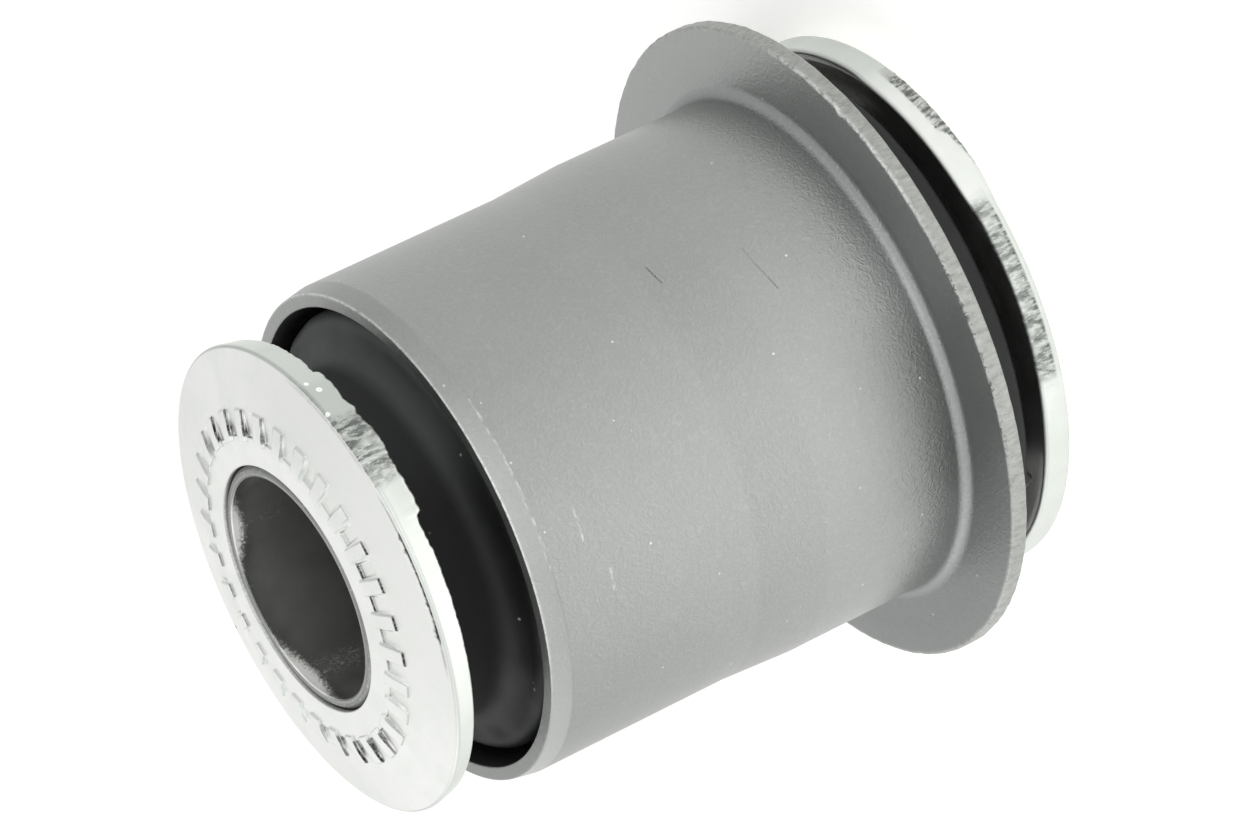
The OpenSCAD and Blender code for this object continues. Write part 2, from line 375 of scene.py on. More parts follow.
def all_round(count):
    """Even angles round the bush, from the camera's side."""
    return np.linspace(-math.pi, math.pi, count, endpoint=False)


def bell(away, width):
    """Smooth bump of height 1 at a distance of 0, which has fallen to a third at the width."""
    return np.exp(-((away / width) ** 2))


def window(facing, centre, width):
    """Bell round the bush, with its centre and its width to each side in degrees."""
    return bell((np.degrees(facing) - centre + 180) % 360 - 180, width)


def stretch(facing, start, end, soft=1.5):
    """1 between two angles in degrees, with soft ends."""
    middle, half = (start + end) / 2, (end - start) / 2
    away = np.abs((np.degrees(facing) - middle + 180) % 360 - 180)
    return 1 / (1 + np.exp((away - half) / soft * 3))


def through(facing, *knots):
    """Straight lines through given knots, each as (degrees, value)."""
    places, values = np.transpose(knots)
    return np.interp(np.degrees(facing), places, values)


def soft_step(distance, width):
    """0 outside an edge and 1 inside it, with a rounded rise of the given width."""
    share = np.clip(distance / width + 0.5, 0, 1)
    return share * share * (3 - 2 * share)


def wave(facing, seed, lowest, highest, fall=1.0):
    """Uneven wave round the bush: a sum of cosines with whole numbers of turns.

    Their phases are random, and their sizes fall with the number of turns.
    """
    rng = np.random.default_rng(seed)
    turns = np.arange(lowest, highest + 1)
    size = rng.normal(size=len(turns)) / turns.astype(float) ** fall
    phase = rng.uniform(0, 2 * math.pi, len(turns))
    total = (size[:, None] * np.cos(turns[:, None] * facing[None, :] + phase[:, None])).sum(0)
    return total / total.std()


def patches(around, along, cells_around, cells_along, seed):
    """Smooth random field: numbers at the crossings of a lattice round the bush, blended between them.

    around runs from 0 to 1 round the bush, and along from 0 to 1 along the path.
    """
    rng = np.random.default_rng(seed)
    lattice = rng.normal(size=(cells_around, cells_along + 2))
    u, v = around * cells_around, np.clip(along, 0, 1) * cells_along
    i, j = np.floor(u).astype(int), np.floor(v).astype(int)
    p, q = u - i, v - j
    p, q = p * p * (3 - 2 * p), q * q * (3 - 2 * q)
    i0, i1 = i % cells_around, (i + 1) % cells_around
    top = lattice[i0, j] * (1 - p) + lattice[i1, j] * p
    low = lattice[i0, j + 1] * (1 - p) + lattice[i1, j + 1] * p
    return top * (1 - q) + low * q


# Materials: one function adds a node, and the others put several nodes together


def add(tree, kind, inputs=(), out=0, **settings):
    """Adds a shader node of a kind, such as Math, and gives one of its outputs.

    inputs are the values of its first sockets in their order, or those of the sockets that a dict names. A
    value that is another node's output is linked.
    """
    node = tree.nodes.new("ShaderNode" + kind)
    for name, value in settings.items():
        setattr(node, name, value)
    for name, value in inputs.items() if isinstance(inputs, dict) else enumerate(inputs):
        if isinstance(value, bpy.types.NodeSocket):
            tree.links.new(value, node.inputs[name])
        else:
            node.inputs[name].default_value = value
    return node.outputs[out] if node.outputs else None


def new_material(name, *masks):
    """Material, its tree, the place on the object in millimetres, and the masks of the given names."""
    material = bpy.data.materials.new(name)
    material.use_nodes = True
    tree = material.node_tree
    tree.nodes.clear()
    on_object = add(tree, "TexCoord", out="Object")
    where = add(tree, "Mapping", {"Vector": on_object, "Scale": (1 / MM,) * 3})
    return material, tree, where, *(add(tree, "Attribute", out="Fac", attribute_name=mask) for mask in masks)


def surface(tree, looks):
    """Adds the shader with its looks, each under the name of its socket, and the output."""
    add(tree, "OutputMaterial", {"Surface": add(tree, "BsdfPrincipled", looks)})


def product(tree, *shares):
    """Shares multiplied together: numbers, sockets, and tuples with the inputs of a MapRange node."""
    total = None
    for share in shares:
        share = add(tree, "MapRange", share) if isinstance(share, tuple) else share
        total = share if total is None else add(tree, "Math", (total, share), operation="MULTIPLY")
    return total


def lay(tree, tint, *layers):
    """A tint with layers of colour over it, the lowest first.

    Each layer is its colour, and then the shares whose product is how much of it there is.
    """
    for colour, *shares in layers:
        colour = linear(colour) if isinstance(colour, str) else colour
        tint = add(tree, "Mix", {0: product(tree, *shares), 6: tint, 7: colour}, out=2, data_type="RGBA")
    return tint


def relief(tree, *layers):
    """Normal of a surface with layers of relief, the lowest first.

    Each layer is a height of 0 to 1, a strength, and how many millimetres a height of 1 stands for.
    """
    normal = {}
    for height, strength, depth in layers:
        looks = {"Height": height, "Strength": strength, "Distance": depth * MM}
        normal = {"Normal": add(tree, "Bump", looks | normal)}
    return normal["Normal"]


def dots(tree, where, apart, radius):
    """1 inside small dots and 0 outside: each cube of the given side has one dot at random."""
    gap = add(tree, "TexVoronoi", {"Vector": where, "Scale": 1 / apart}, out="Distance")
    return add(tree, "MapRange", (gap, 0.7 * radius / apart, radius / apart, 1.0, 0.0))


def spot(tree, where, at, radius):
    """1 inside a small ball round a place in millimetres, and 0 outside."""
    gap = add(tree, "VectorMath", (where, at), out="Value", operation="DISTANCE")
    return add(tree, "MapRange", (gap, 0.7 * radius, radius, 1.0, 0.0))


def wall_place(tree, where, radius):
    """Place on a round wall as (distance round from the camera's side, height), both in millimetres."""
    parts = add(tree, "SeparateXYZ", (where,)).node.outputs
    back = product(tree, parts["Y"], -1.0)
    turn = add(tree, "Math", (parts["X"], back), operation="ARCTAN2")
    return add(tree, "CombineXYZ", (product(tree, turn, radius), parts["Z"]))


def scratch(tree, on_wall, start, end, width):
    """1 on a straight line between two places on the wall, and 0 off it, by how far its nearest point is."""
    start, end = np.array(start, float), np.array(end, float)
    long = float(np.linalg.norm(end - start))
    way = (*((end - start) / long), 0)
    offset = add(tree, "VectorMath", (on_wall, (*start, 0)), operation="SUBTRACT")
    along = add(tree, "VectorMath", (offset, way), out="Value", operation="DOT_PRODUCT")
    held = add(tree, "Clamp", {"Value": along, "Max": long})
    nearest = add(tree, "VectorMath", {0: way, "Scale": held}, operation="SCALE")
    gap = add(tree, "VectorMath", (offset, nearest), out="Value", operation="DISTANCE")
    return add(tree, "MapRange", (gap, 0.3 * width, width, 1.0, 0.0))


def phosphated_steel(settings):
    """Drawn mild steel, blasted and zinc phosphated: a matt grey coat of fine crystals over a wrinkled sheet.

    The eye sees an even mid grey with a fine crawling grain and faint cloudy patches. The sheared rim has
    streaks from the shear and chipped edges. Dashes of worn coat run along the lead-in, and there are a few
    pale specks and thin dark scratches. A paler coat is painted on as light on some sides, a darker coat as
    shade on others and by the flange's root, and the worn corners are painted paler as their highlight.
    """
    material, tree, where, edge, painted_light, painted_shade, wear_and_highlight, chipped = new_material(
        "zinc_phosphated_steel", "edge", "painted_light", "painted_shade", "wear_and_highlight", "chipped"
    )
    base, worn_and_lit_coat = settings.colour[:], settings.worn_and_lit_colour[:]
    darker = tuple(c * 0.95 for c in base[:3]) + (1,)
    clouds = add(tree, "TexNoise", {"Vector": where, "Scale": 1 / 7.0, "Detail": 4.0, "Roughness": 0.55})
    crystal = {"Vector": where, "Scale": 1 / mm(settings.grain), "Detail": 3.0, "Roughness": 0.6}
    crystals = add(tree, "TexNoise", crystal)
    wrinkles = add(tree, "TexNoise", {"Vector": where, "Scale": 1 / 0.8, "Detail": 2.0, "Distortion": 2.5})

    # Ragged chips of half a millimetre, and streaks of about 0.4 by 1.4 mm across the sheared edge
    chip = {"Vector": where, "Scale": 1 / 0.5, "Detail": 3.0, "Roughness": 0.7, "Distortion": 1.0}
    chips = add(tree, "TexNoise", chip)
    on_wall = wall_place(tree, where, 22.6)
    drawn = add(tree, "Mapping", {"Vector": on_wall, "Scale": (2.6, 0.7, 1.0)})
    shear = add(tree, "TexNoise", {"Vector": drawn, "Scale": 1.0, "Detail": 5.0, "Roughness": 0.75})

    # Rubbed lines, which are broken into dashes about 0.8 mm long, and scratches
    flat_on = add(tree, "Mapping", {"Vector": on_wall, "Scale": (0.8, 3.0, 1.0)})
    dashes = add(tree, "TexNoise", {"Vector": flat_on, "Scale": 1 / 0.6, "Detail": 3.0, "Roughness": 0.55})
    rub_and_highlight = scratched = 0.0
    for start, end in RUB_LINES:
        line = scratch(tree, on_wall, start, end, RUB_WIDTH)
        rub_and_highlight = add(tree, "Math", (rub_and_highlight, line), operation="MAXIMUM")
    for start, end, width, strength in SCRATCHES:
        line = product(tree, scratch(tree, on_wall, start, end, width), strength)
        scratched = add(tree, "Math", (scratched, line), operation="MAXIMUM")
    scratched = product(tree, scratched, (crystals, 0.35, 0.6, 0.4, 1.0))
    tint = lay(
        tree,
        darker,
        (base, (clouds, 0.35, 0.65)),
        (worn_and_lit_coat, (wrinkles, 0.5, 0.75, 0.0, 0.1)),
        (worn_and_lit_coat, (crystals, 0.45, 0.75, 0.0, 0.06)),
        # Painted light: a paler coat on the lit stretches of the taper, the end face at the mouth and the
        # flange
        (worn_and_lit_coat, painted_light),
        # Painted shade: a darker coat by the flange's root and on the shaded stretches of the taper and the
        # flange
        (settings.shade_colour[:], painted_shade),
        (settings.edge_colour[:], edge),
        ("#c3c5c1", edge, (shear, 0.48, 0.68, 0.0, 0.42)),
        ("#6c6e6c", edge, (shear, 0.34, 0.48, 0.45, 0.0)),
        # Worn bare corners at the mouth and on the flange's rim, painted paler as their highlight
        ("#e6e8e5", wear_and_highlight, (chips, 0.36, 0.5)),
        ("#4f504e", chipped, (chips, 0.42, 0.5, 1.0, 0.0), 0.7),
        ("#eceeeb", rub_and_highlight, (dashes, 0.44, 0.64, 0.0, 0.38)),
        ("#dfe1de", dots(tree, where, 2.6, 0.13), 0.6),
        ("#3f4140", scratched),
    )
    matt = add(tree, "MapRange", (clouds, 0.3, 0.7, 0.36, 0.42))
    looks = {
        "Base Color": tint,
        "Metallic": 1.0,
        "Roughness": add(tree, "Math", (matt, product(tree, edge, 0.1))),
        "Normal": relief(tree, (crystals, 0.4, 0.05), (wrinkles, 0.42, 0.1), (scratched, 0.5, -0.05)),
    }
    surface(tree, looks)
    return material


def turned_steel(settings):
    """Bare turned steel with an old oil film: fine rings from the tool on the ends, a dull film in the bore.

    Near the mouth of the bore two streaky near white bands are painted on as its highlight. Painted shade
    darkens the end where it sits in the washer's hole, and the bevel of the bore. The end face is dusky, with
    a lighter band beside the bore.
    """
    material, tree, where, inside, rub_and_highlight, depth, radius, dark_painted_shade = new_material(
        "turned_oiled_steel", "inside", "rub_and_highlight", "depth", "radius", "dark_painted_shade"
    )
    bore_r = mm(settings.bore_diameter) / 2
    film = add(tree, "TexNoise", {"Vector": where, "Scale": 1 / 2.2, "Detail": 4.0, "Roughness": 0.6})
    fine = add(tree, "TexNoise", {"Vector": where, "Scale": 1 / 0.18, "Detail": 2.0, "Roughness": 0.55})
    turned = add(tree, "Mapping", {"Vector": where, "Scale": (0.6, 0.6, 9.0)})
    rings = add(tree, "TexNoise", {"Vector": turned, "Scale": 1.0, "Detail": 2.0})

    # Painted highlight, near white and hardly metallic, where its mask outweighs the depth in the bore, with
    # an edge made ragged by streaks
    streak = {"Vector": where, "Scale": 1 / 0.25, "Detail": 5.0, "Roughness": 0.8, "Distortion": 0.6}
    streaks = add(tree, "TexNoise", streak)
    shallow = add(tree, "MapRange", (depth, 0.1, 1.5, 0.0, 1.2))
    faded = add(tree, "Math", (product(tree, rub_and_highlight, 1.3), shallow), operation="SUBTRACT")
    ragged = add(tree, "Math", (faded, add(tree, "MapRange", (streaks, 0.3, 0.7, -0.5, 0.5))))
    painted_highlight = add(tree, "MapRange", (ragged, 0.15, 0.7))

    # The lighter band beside the bore and the dusky rest of the end face
    near_bore, near_end = (radius, bore_r + 0.28, bore_r + 0.36, 1.0, 0.0), (depth, 0.1, 0.2, 1.0, 0.0)
    outer, on_end = (radius, bore_r + 0.3, bore_r + 0.4, 0.1, 0.3), (depth, 0.25, 0.4, 1.0, 0.0)
    tint = lay(
        tree,
        settings.colour[:],
        (settings.oil_colour[:], inside, (film, 0.3, 0.7, 0.75, 1.0)),
        # Painted highlight at the mouth of the bore
        (settings.highlight_colour[:], painted_highlight),
        ("#c9cac6", near_bore, 0.5, near_end, (film, 0.3, 0.6)),
        ("#55564f", on_end, outer, (film, 0.3, 0.65)),
        # Painted shade where the end sits in the washer's hole, and on the bevel of the bore
        ("#2f2e2a", dark_painted_shade, (film, 0.35, 0.6, 0.6, 1.0)),
    )
    satin = add(tree, "MapRange", (film, 0.3, 0.7, 0.34, 0.44))
    looks = {
        "Base Color": tint,
        "Metallic": add(tree, "Math", (1.0, product(tree, painted_highlight, 0.95)), operation="SUBTRACT"),
        "Roughness": add(tree, "Math", (satin, product(tree, inside, 0.2))),
        "Normal": relief(tree, (rings, 0.25, 0.03), (fine, 0.3, 0.02)),
    }
    surface(tree, looks)
    return material


def moulded_rubber(settings):
    """Black natural rubber from a steel mould: satin skin, grey bloom in cloudy patches, tiny pale dust, a
    painted sheen on its upper side and near black painted shade in its gaps and on its neck.
    """
    material, tree, where, recess_shade, painted_sheen = new_material("moulded_black_rubber", "recess_shade", "painted_sheen")
    bloom = add(tree, "TexNoise", {"Vector": where, "Scale": 1 / 5.0, "Detail": 5.0, "Roughness": 0.55})
    skin = add(tree, "TexNoise", {"Vector": where, "Scale": 1 / 0.25, "Detail": 3.0, "Roughness": 0.55})
    tint = lay(
        tree,
        settings.colour[:],
        (settings.bloom_colour[:], (bloom, 0.4, 0.75)),
        # Painted sheen: a lighter grey on the upper side
        ("#4c4e4e", painted_sheen, 0.8),
        ("#8d8f8c", dots(tree, where, 3.2, 0.14), 0.5),
        *(("#a5a7a4", spot(tree, where, at, radius), 0.6) for at, radius in LINT),
        # Painted shade: near black deep in the gaps and on the neck
        ("#080808", recess_shade),
    )
    satin = add(tree, "MapRange", (bloom, 0.3, 0.7, 0.5, 0.6))
    looks = {
        "Base Color": tint,
        "Roughness": add(tree, "Math", (satin, product(tree, recess_shade, 0.4))),
        "IOR": 1.52,
        "Specular IOR Level": 0.3,
        "Normal": relief(tree, (bloom, 0.3, 0.15), (skin, 0.35, 0.03)),
    }
    surface(tree, looks)
    return material


def zinc_plated_steel(settings):
    """Pressed steel with bright zinc: near white, an uneven gloss, darker bare steel in the torn rim, grey
    and dark painted shade on the walls of the bars and pits, on stretches of the rims and in the hole, and
    painted glints on three burrs.
    """
    material, tree, where, torn, dull, shade_and_dark_line = new_material("bright_zinc_steel", "torn", "dull", "shade_and_dark_line")
    dark_mark_and_shade_colour = settings.dark_mark_and_shade_colour[:]
    clouds = add(tree, "TexNoise", {"Vector": where, "Scale": 1 / 4.0, "Detail": 4.0, "Roughness": 0.6})
    fine = add(tree, "TexNoise", {"Vector": where, "Scale": 1 / 0.22, "Detail": 3.0, "Roughness": 0.6})

    # Streaks from the shear, about 0.4 by 1.3 mm, run across the torn rim
    drawn = add(tree, "Mapping", {"Vector": wall_place(tree, where, 22.5), "Scale": (2.7, 0.8, 1.0)})
    streaks = add(tree, "TexNoise", {"Vector": drawn, "Scale": 1.0, "Detail": 4.0, "Roughness": 0.7})
    tint = lay(
        tree,
        settings.colour[:],
        ("#dfe3de", (clouds, 0.4, 0.65, 0.0, 0.35)),
        # Dull zinc of the rims, and grey painted shade on the walls of the bars and pits and on stretches of
        # the rims
        (settings.dull_colour[:], dull),
        (settings.dark_colour[:], torn, (streaks, 0.42, 0.54, 0.25, 1.0)),
        # Dark line beside the edge, and dark painted shade on the walls of the bars and pits and in the hole
        (dark_mark_and_shade_colour, shade_and_dark_line, (fine, 0.35, 0.55, 0.7, 1.0)),
        (dark_mark_and_shade_colour, spot(tree, where, *FACE_SPECK)),
        # Painted glints: pure white spots on three burrs of the front rim
        *(("#ffffff", spot(tree, where, at, radius), (fine, 0.3, 0.42)) for at, radius in BURR_GLINTS),
    )
    gloss = add(tree, "MapRange", (clouds, 0.3, 0.7, 0.3, 0.4))
    looks = {
        "Base Color": tint,
        "Metallic": 1.0,
        "Roughness": add(tree, "Math", (gloss, product(tree, torn, 0.15))),
        "Normal": relief(tree, (clouds, 0.15, 0.2), (fine, 0.25, 0.03)),
    }
    surface(tree, looks)
    return material


def studio_floor(settings):
    """White acrylic light table: a matt pale sheet with light coming up through it."""
    material, tree, where = new_material("white_acrylic_table")
    haze = add(tree, "TexNoise", {"Vector": where, "Scale": 1 / 400.0, "Detail": 1.0, "Roughness": 0.55})
    tone = settings.floor_colour[:]
    greyer = tuple(c * 0.99 for c in tone[:3]) + (1,)
    away = add(tree, "VectorMath", (where, PATCH_MIDDLE), out="Value", operation="DISTANCE")
    fall = (away, 0.0, PATCH_RADIUS, settings.lamp_glow, 0.0)
    patch = add(tree, "MapRange", fall, interpolation_type="SMOOTHSTEP")
    looks = {
        "Base Color": lay(tree, greyer, (tone, (haze, 0.3, 0.7))),
        "Roughness": 0.9,
        "Emission Color": tone,
        "Emission Strength": add(tree, "Math", (patch, settings.floor_glow)),
    }
    surface(tree, looks)
    return material


# The shell


def shell_sizes(s):
    """Radii and heights of the shell in millimetres, from its settings and its CAD box."""
    sheet, mouth, back = mm(s.sheet), SHELL_HIGH[2], SHELL_LOW[2]
    body_r, step_top = mm(s.front_diameter) / 2, mouth - mm(s.step_start)
    return SimpleNamespace(
        sheet=sheet,
        mouth=mouth,
        back=back,
        face=back + sheet,
        body_r=body_r,
        seat_r=mm(s.seat_diameter) / 2,
        flange_r=SHELL_HIGH[0],
        lead_r=body_r - mm(s.lead_in_depth),
        lead_z=mouth - mm(s.lead_in_length),
        step_top=step_top,
        step_bottom=step_top - mm(s.step_length),
        rim=mm(s.flange_rounding),
        root=mm(s.root_radius),
    )


def shell_path(d):
    """Half section of the shell: one sheet through the mouth, the two diameters, the bend and the flange."""
    step_round = 8.0
    corners = [
        (d.body_r - d.sheet, d.mouth, 0.12),
        (d.lead_r, d.mouth, 0.14),
        (d.body_r, d.lead_z, 0.5),
        (d.body_r, d.step_top, step_round),
        (d.seat_r, d.step_bottom, step_round),
        (d.seat_r, d.face, d.root),
        (d.flange_r, d.face, d.rim),
        (d.flange_r, d.back, d.rim),
        (d.seat_r - d.sheet, d.back, d.root + d.sheet),
        (d.seat_r - d.sheet, d.step_bottom, step_round),
        (d.body_r - d.sheet, d.step_top, step_round),
    ]
    return path_with_arcs(corners, 2.0)


def shell_unevenness(d, facing, r, z):
    """How far the flange's sheared rim stands out: slow and quick waves, less one nick in its front edge."""
    at_rim = soft_step(r - d.flange_r + 0.8, 0.8)
    nick = 0.35 * window(facing, 33.7, 0.8)[:, None] * bell(z - d.face, 0.5)
    uneven = 0.03 * wave(facing, 3, 2, 9) + 0.015 * wave(facing, 4, 20, 120, 0.3)
    return (uneven[:, None] - nick) * at_rim


def shell_masks(d, facing, r, z):
    """Where the shell is sheared, worn to the metal with a painted highlight, chipped, and where light and
    shade are painted on its coat.
    """

    def over(stretched):
        return stretch(facing, *stretched)[:, None]

    near_rim = soft_step(r - d.flange_r + d.rim, d.rim)
    at_mouth = soft_step(z - d.mouth + 0.1, 0.1)
    streaks = 0.85 + 0.15 * np.clip(wave(facing, 5, 60, 300, 0.1), -2, 2)[:, None]
    mouth_corner = bell(z - d.mouth, 0.12) * bell(r - d.lead_r, 0.1)
    rim_corner = bell(z - d.face + 0.06, 0.16) * soft_step(r - d.flange_r + 0.35, 0.3)
    rim_hollow = bell(z - d.face + 0.55, 0.2) * soft_step(r - d.flange_r + 0.1, 0.1)
    on_taper = soft_step(z - d.lead_z - 0.1, 0.3) * soft_step(d.mouth - 0.1 - z, 0.1)
    on_taper = on_taper * (r > d.body_r - d.sheet + 0.2)
    on_flange = (np.abs(z - d.face) < 0.05) * soft_step(r - d.seat_r - d.root, 0.5)
    near_root = bell(z - d.face - 2.0, 5.5) * (r > d.seat_r - 0.3) * (z > d.face + 1.0)

    # Worn bare corners at the mouth and on the flange's rim, painted paler as their highlight
    wear_and_highlight = (0.1 + 0.7 * over(MOUTH_WEAR_AND_HIGHLIGHT)) * mouth_corner + (0.25 + 0.5 * over(RIM_BRIGHT)) * rim_corner
    # Painted light: a paler coat on the lit stretches of the taper, the end face at the mouth and the flange
    painted_light = (0.28 * over(TAPER_LIT) + 0.22 * over(TAPER_MOST_LIT)) * on_taper
    painted_light = painted_light + (0.3 * over(MOUTH_UPPER_LIT) + 0.8 * over(MOUTH_FRONT_LIT)) * at_mouth
    painted_light = painted_light + 0.25 * over(FLANGE_LIT) * on_flange
    # Painted shade: a darker coat by the flange's root and on the shaded stretches of the taper and the
    # flange
    painted_shade = 0.75 * over(ROOT_SHADED) * near_root
    painted_shade = painted_shade + 0.25 * over(TAPER_SHADED) * on_taper + 0.25 * over(FLANGE_SHADED) * on_flange
    return {
        "edge": np.clip(near_rim * streaks + 0.2 * at_mouth, 0, 1),
        "wear_and_highlight": np.clip(wear_and_highlight, 0, 1),
        "chipped": over(RIM_CHIPPED) * rim_corner + over(RIM_HOLLOW) * rim_hollow,
        "painted_light": painted_light,
        "painted_shade": painted_shade,
    }


class BUSH_OT_shell(bpy.types.Operator):
    """Make the flanged steel shell"""

    bl_idname = "bush.shell"
    bl_label = "Outer shell"

    def execute(self, context):
        s = context.scene.bush_shell
        d = shell_sizes(s)
        path, facing = shell_path(d), all_round(SHELL_COLUMNS)
        r, z = path[None, :, 0], path[None, :, 1]
        grid = ring_points(facing, path, shell_unevenness(d, facing, r, z))
        piece = ring_piece("shell_skin", grid, shell_masks(d, facing, r, z))
        place(piece, phosphated_steel(s), "outer_shell")
        return {"FINISHED"}


# The sleeve


def sleeve_path(s, rear, front):
    """Half section of the sleeve, with its washer seats at the heights rear and front."""
    bore, end, sleeve_r = mm(s.bore_diameter) / 2, mm(s.end_diameter) / 2, SLEEVE_HIGH[0]
    low, high = SLEEVE_LOW[2], SLEEVE_HIGH[2]
    bevel, mouth, shoulder = mm(s.end_bevel), mm(s.bore_bevel), mm(s.shoulder_bevel)
    rounding = 0.04
    corners = [
        (bore, high - mouth),
        (bore + mouth, high),
        (end - bevel, high),
        (end, high - bevel),
        (end, front),
        (sleeve_r - shoulder, front),
        (sleeve_r, front - shoulder),
        (sleeve_r, rear + shoulder),
        (sleeve_r - shoulder, rear),
        (end, rear),
        (end, low + bevel),
        (end - bevel, low),
        (bore + mouth, low),
        (bore, low + mouth),
    ]
    return path_with_arcs([(*corner, rounding) for corner in corners], 1.6)


def sleeve_masks(s, facing, r, z):
    """Where the sleeve is inside its bore, where its highlight and its shade are painted, and each point's
    depth and radius.

    The depth is measured from the nearer end.
    """
    bore, end, mouth = mm(s.bore_diameter) / 2, mm(s.end_diameter) / 2, mm(s.bore_bevel)
    depth = np.minimum(SLEEVE_HIGH[2] - z, z - SLEEVE_LOW[2])
    # Painted highlight on two sides of the mouth of the bore
    sides = (window(facing, -136, 24) + 0.9 * window(facing, 138, 19))[:, None]
    # Painted shade where the end sits in the washer's hole, and on the bevel of the bore away from the
    # highlight
    crevice = soft_step(r - end + 0.06, 0.1) * soft_step(depth - 0.3, 0.2)
    at_bevel = (r < bore + mouth + 0.03) * (depth < mouth + 0.05)
    return {
        "inside": soft_step(depth - 0.35, 0.3) * (r < bore + 0.01),
        "rub_and_highlight": sides * (r < bore + mouth),
        "depth": depth,
        "radius": r,
        "dark_painted_shade": crevice + 0.55 * at_bevel * np.clip(1 - 1.5 * sides, 0, 1),
    }


class BUSH_OT_sleeve(bpy.types.Operator):
    """Make the turned inner sleeve"""

    bl_idname = "bush.sleeve"
    bl_label = "Inner sleeve"

    def execute(self, context):
        s = context.scene.bush_sleeve
        seat = washer_seat_depth(context.scene.bush_washers)
        path, facing = sleeve_path(s, REAR_LOW[2] + seat, FRONT_HIGH[2] - seat), all_round(SLEEVE_COLUMNS)
        masks = sleeve_masks(s, facing, path[None, :, 0], path[None, :, 1])
        piece = ring_piece("sleeve_steel_tube", ring_points(facing, path), masks)
        place(piece, turned_steel(s), "inner_sleeve")
        return {"FINISHED"}


# The rubber


def rubber_sizes(s, shell):
    """Radii and heights of the rubber in millimetres, from its settings and the shell around it."""
    return SimpleNamespace(
        sleeve_r=SLEEVE_HIGH[0],
        neck_r=mm(s.neck_diameter) / 2,
        lip_r=mm(s.lip_diameter) / 2,
        wall_r=shell.body_r - shell.sheet,
        seat_wall_r=shell.seat_r - shell.sheet,
        collar_r=RUBBER_HIGH[0],
        lip_z=shell.mouth - mm(s.lip_depth),
        floor_z=shell.mouth - mm(s.groove_depth),
        collar_back=shell.back - mm(s.collar_thickness),
    )


def rubber_path(s, d, shell):
    """Half section of the rubber: neck, lip, groove, the bonded wall inside the shell, and the collar.

    Where it is bonded, it reaches 0.03 mm into the steel, so that no light gets between them.
    """
    bonded = 0.03
    front_hollow = min(mm(s.front_hollow), d.lip_r - mm(s.lip_rounding) - d.neck_r)
    groove = (d.wall_r - d.lip_r) / 2 * 0.98
    corners = [
        (d.sleeve_r, RUBBER_HIGH[2], 0.1),
        (d.neck_r, RUBBER_HIGH[2], 0.25),
        (d.neck_r, d.lip_z, front_hollow * 0.95),
        (d.lip_r, d.lip_z, mm(s.lip_rounding) * 0.98),
        (d.lip_r, d.floor_z, groove),
        (d.wall_r, d.floor_z, groove),
        (d.wall_r, d.floor_z + groove + 0.4, 0.02),
        (d.wall_r + bonded, d.floor_z + groove + 0.3, 0.01),
        (d.wall_r + bonded, shell.step_top, 1.0),
        (d.seat_wall_r + bonded, shell.step_bottom, 1.0),
        (d.seat_wall_r + bonded, shell.back + 0.02, shell.root + shell.sheet),
        (d.collar_r, shell.back - 0.02, 0.05),
        (d.collar_r, d.collar_back, mm(s.collar_rounding)),
        (d.neck_r, d.collar_back, mm(s.rear_hollow)),
        (d.neck_r, RUBBER_LOW[2], 0.25),
        (d.sleeve_r, RUBBER_LOW[2], 0.1),
    ]
    return path_with_arcs(corners, 2.0)


def rubber_masks(d, facing, r, z):
    """Where shade is painted near black on the rubber, deep in its gaps and on its neck, and where a grey
    sheen is painted on its upper side.
    """
    # Painted shade deep in the gaps behind the collar and round the lip, and on the neck
    behind = soft_step(d.collar_back + 0.25 - z, 0.3) * soft_step(d.collar_r - 0.7 - r, 0.4)
    groove = soft_step(d.lip_z - 1.8 - z, 1.0) * (z > d.floor_z - 0.1) * (r > d.lip_r - 0.05)
    neck = 0.6 * soft_step(z - d.lip_z - 1.5, 1.5) * soft_step(d.neck_r + 0.8 - r, 0.8)
    # Painted sheen on the upper side
    painted_sheen = stretch(facing, 15, 115, 20)[:, None] * (z > d.floor_z)
    return {"recess_shade": behind + groove + neck, "painted_sheen": painted_sheen}


class BUSH_OT_rubber(bpy.types.Operator):
    """Make the moulded rubber body"""

    bl_idname = "bush.rubber"
    bl_label = "Rubber body"

    def execute(self, context):
        s, shell = context.scene.bush_rubber, shell_sizes(context.scene.bush_shell)
        d = rubber_sizes(s, shell)
        path, facing = rubber_path(s, d, shell), all_round(RUBBER_COLUMNS)
        r, z = path[None, :, 0], path[None, :, 1]

        # Soft dents between the neck and the lip, a wavy lip, and one burr on the back edge of the collar
        around = (facing / (2 * math.pi) % 1)[:, None] + 0 * r
        along = (r - d.neck_r) / (d.lip_r - d.neck_r) + 0 * around
        shown = (z > d.floor_z) & (r < d.wall_r - 0.2) & (r > d.neck_r + 0.2)
        dents = 0.06 * patches(around, along, 40, 2, 11) * shown
        at_lip = bell(r - d.lip_r + 0.9, 0.8) * (z > d.lip_z - 1.6)
        wavy = at_lip * (0.03 * wave(facing, 12, 3, 40, 0.7))[:, None]
        burr = window(facing, -50.7, 1.2)[:, None] * bell(z - d.collar_back, 0.5) * (r > d.collar_r - 1)
        grid = ring_points(facing, path, 0.5 * burr, dents + wavy - 0.35 * burr)
        piece = ring_piece("rubber_moulding", grid, rubber_masks(d, facing, r, z))
        place(piece, moulded_rubber(s), "rubber_body")
        return {"FINISHED"}


# The washers


